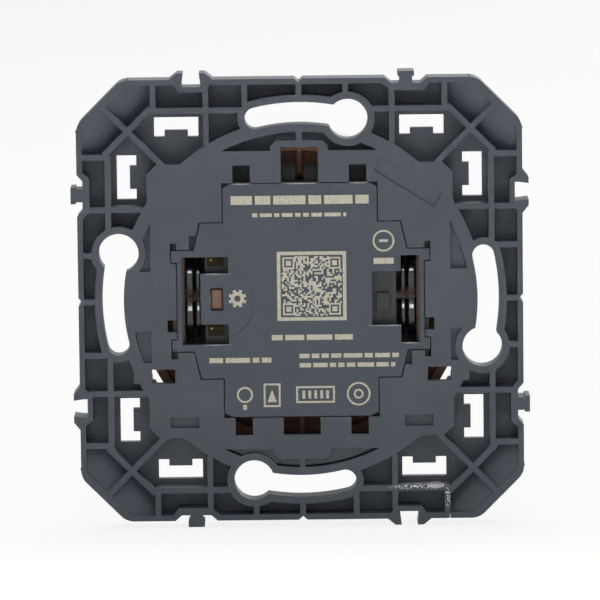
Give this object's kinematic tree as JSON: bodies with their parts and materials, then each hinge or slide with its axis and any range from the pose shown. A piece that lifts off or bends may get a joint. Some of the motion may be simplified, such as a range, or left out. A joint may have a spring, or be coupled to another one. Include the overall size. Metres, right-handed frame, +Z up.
{
  "type": "wireless remote wall switch",
  "caption": "Square ribbed wall frame with keyhole slots and edge connectors, a batteryless wireless module in its round well and a round tilting rocker in front.",
  "frame": {"origin": "centre of the support frame's rear face, on the wall, in the middle of the fixing screws' circle", "axes": "+Z up, +Y into the wall, -Y into the room, so the rear that the picture shows is seen from +Y"},
  "size_m": [0.073, 0.0155, 0.073],
  "materials": {
    "anthracite_plastic": "fine-grained moulded",
    "cover_plastic": "fine-grained moulded",
    "housing_plastic": "moulded",
    "board_laminate": "solder resist",
    "tinned_strip": "tinned",
    "gold_plating": "gold plated",
    "chip_epoxy": "moulded epoxy",
    "green_ceramic": "glazed ceramic",
    "capacitor_sleeve": "shrunk sleeve",
    "bobbin_plastic": "moulded",
    "copper_wire": "enamelled wire",
    "soft_iron": "stamped",
    "pin_steel": "ground",
    "spring_steel": "rolled strip",
    "rocker_plastic": "semi-gloss moulded",
    "carrier_plastic": "moulded",
    "lever_plastic": "polished",
    "magnet_nickel": "nickel plated",
    "button_plastic": "moulded"
  },
  "bodies": {
    "frame": {"support_frame": "anthracite_plastic", "rear_cover": "cover_plastic", "module_housing": "housing_plastic", "circuit_board": "board_laminate", "antenna": "tinned_strip", "contact_spring_upper": "gold_plating", "contact_spring_lower": "gold_plating", "radio_chip": "chip_epoxy", "chip_inductor": "green_ceramic", "pairing_switch": "chip_epoxy", "rectifier": "chip_epoxy", "storage_capacitor": "capacitor_sleeve", "coil_bobbin": "bobbin_plastic", "coil_winding": "copper_wire", "core_bar": "soft_iron", "core_leg_right": "soft_iron", "core_leg_left": "soft_iron", "hinge_pin_right": "pin_steel", "hinge_pin_left": "pin_steel", "wear_plate_right": "carrier_plastic", "wear_plate_left": "carrier_plastic", "centring_spring": "spring_steel"},
    "rocker": {"rocker_cap": "rocker_plastic", "rocker_carrier": "carrier_plastic"},
    "lever": {"harvester_lever": "lever_plastic", "magnet": "magnet_nickel", "pole_plate_rear": "soft_iron", "pole_plate_front": "soft_iron"},
    "button": {"pairing_plunger": "button_plastic"}
  },
  "joints": [
    {"name": "rocker_tilt", "type": "hinge", "parent": "frame", "child": "rocker", "pos_m": [0, -0.0086, 0], "axis": [1, 0, 0], "range_deg": [-3.2, 3.2], "stiffness_Nm_per_rad": 1.5, "deforming": ["centring_spring"]},
    {"name": "lever_tilt", "type": "hinge", "parent": "frame", "child": "lever", "pos_m": [0, -0.0057, 0], "axis": [1, 0, 0], "range_deg": [-3.3, 3.3]},
    {"name": "button_press", "type": "slide", "parent": "frame", "child": "button", "axis": [0, -1, 0], "range_m": [0, 0.0003], "stiffness_N_per_m": 1000}
  ],
  "couplings": [
    {"joint": "lever_tilt", "follows": "rocker_tilt", "ratio": 1}
  ]
}
